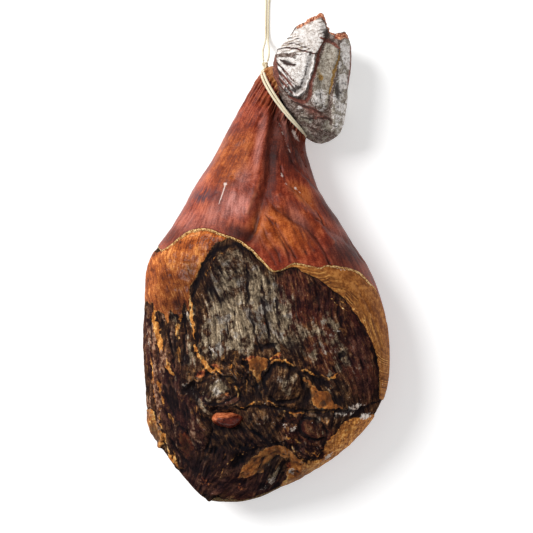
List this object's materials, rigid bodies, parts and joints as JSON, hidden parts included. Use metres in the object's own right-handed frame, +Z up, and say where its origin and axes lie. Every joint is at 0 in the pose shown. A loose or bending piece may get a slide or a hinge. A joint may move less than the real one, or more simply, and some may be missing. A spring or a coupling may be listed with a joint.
{
  "type": "dry-cured bone-in ham",
  "caption": "Whole dry-cured bone-in ham lying on its back: brown rind up to the hock, dark moulded cut face with the ball of the thigh bone, pale moulded hock end and a hanging string.",
  "frame": {"origin": "on the surface that the ham lies on, under the middle of the ham's box", "axes": "+Z up, out of the cut meat face; +Y along the leg from the hip end to the hock; +X across, towards the side with the bare fat strip"},
  "size_m": [0.2999, 0.6546, 0.1389],
  "materials": {
    "rind_and_meat": "waxy cured skin and dry meat",
    "bone_cartilage": "glossy cartilage",
    "cotton_string": "twisted cotton"
  },
  "bodies": {
    "root": {"ham": "rind_and_meat", "femur_head": "bone_cartilage", "string_loop": "cotton_string", "string_tail": "cotton_string"}
  },
  "joints": []
}
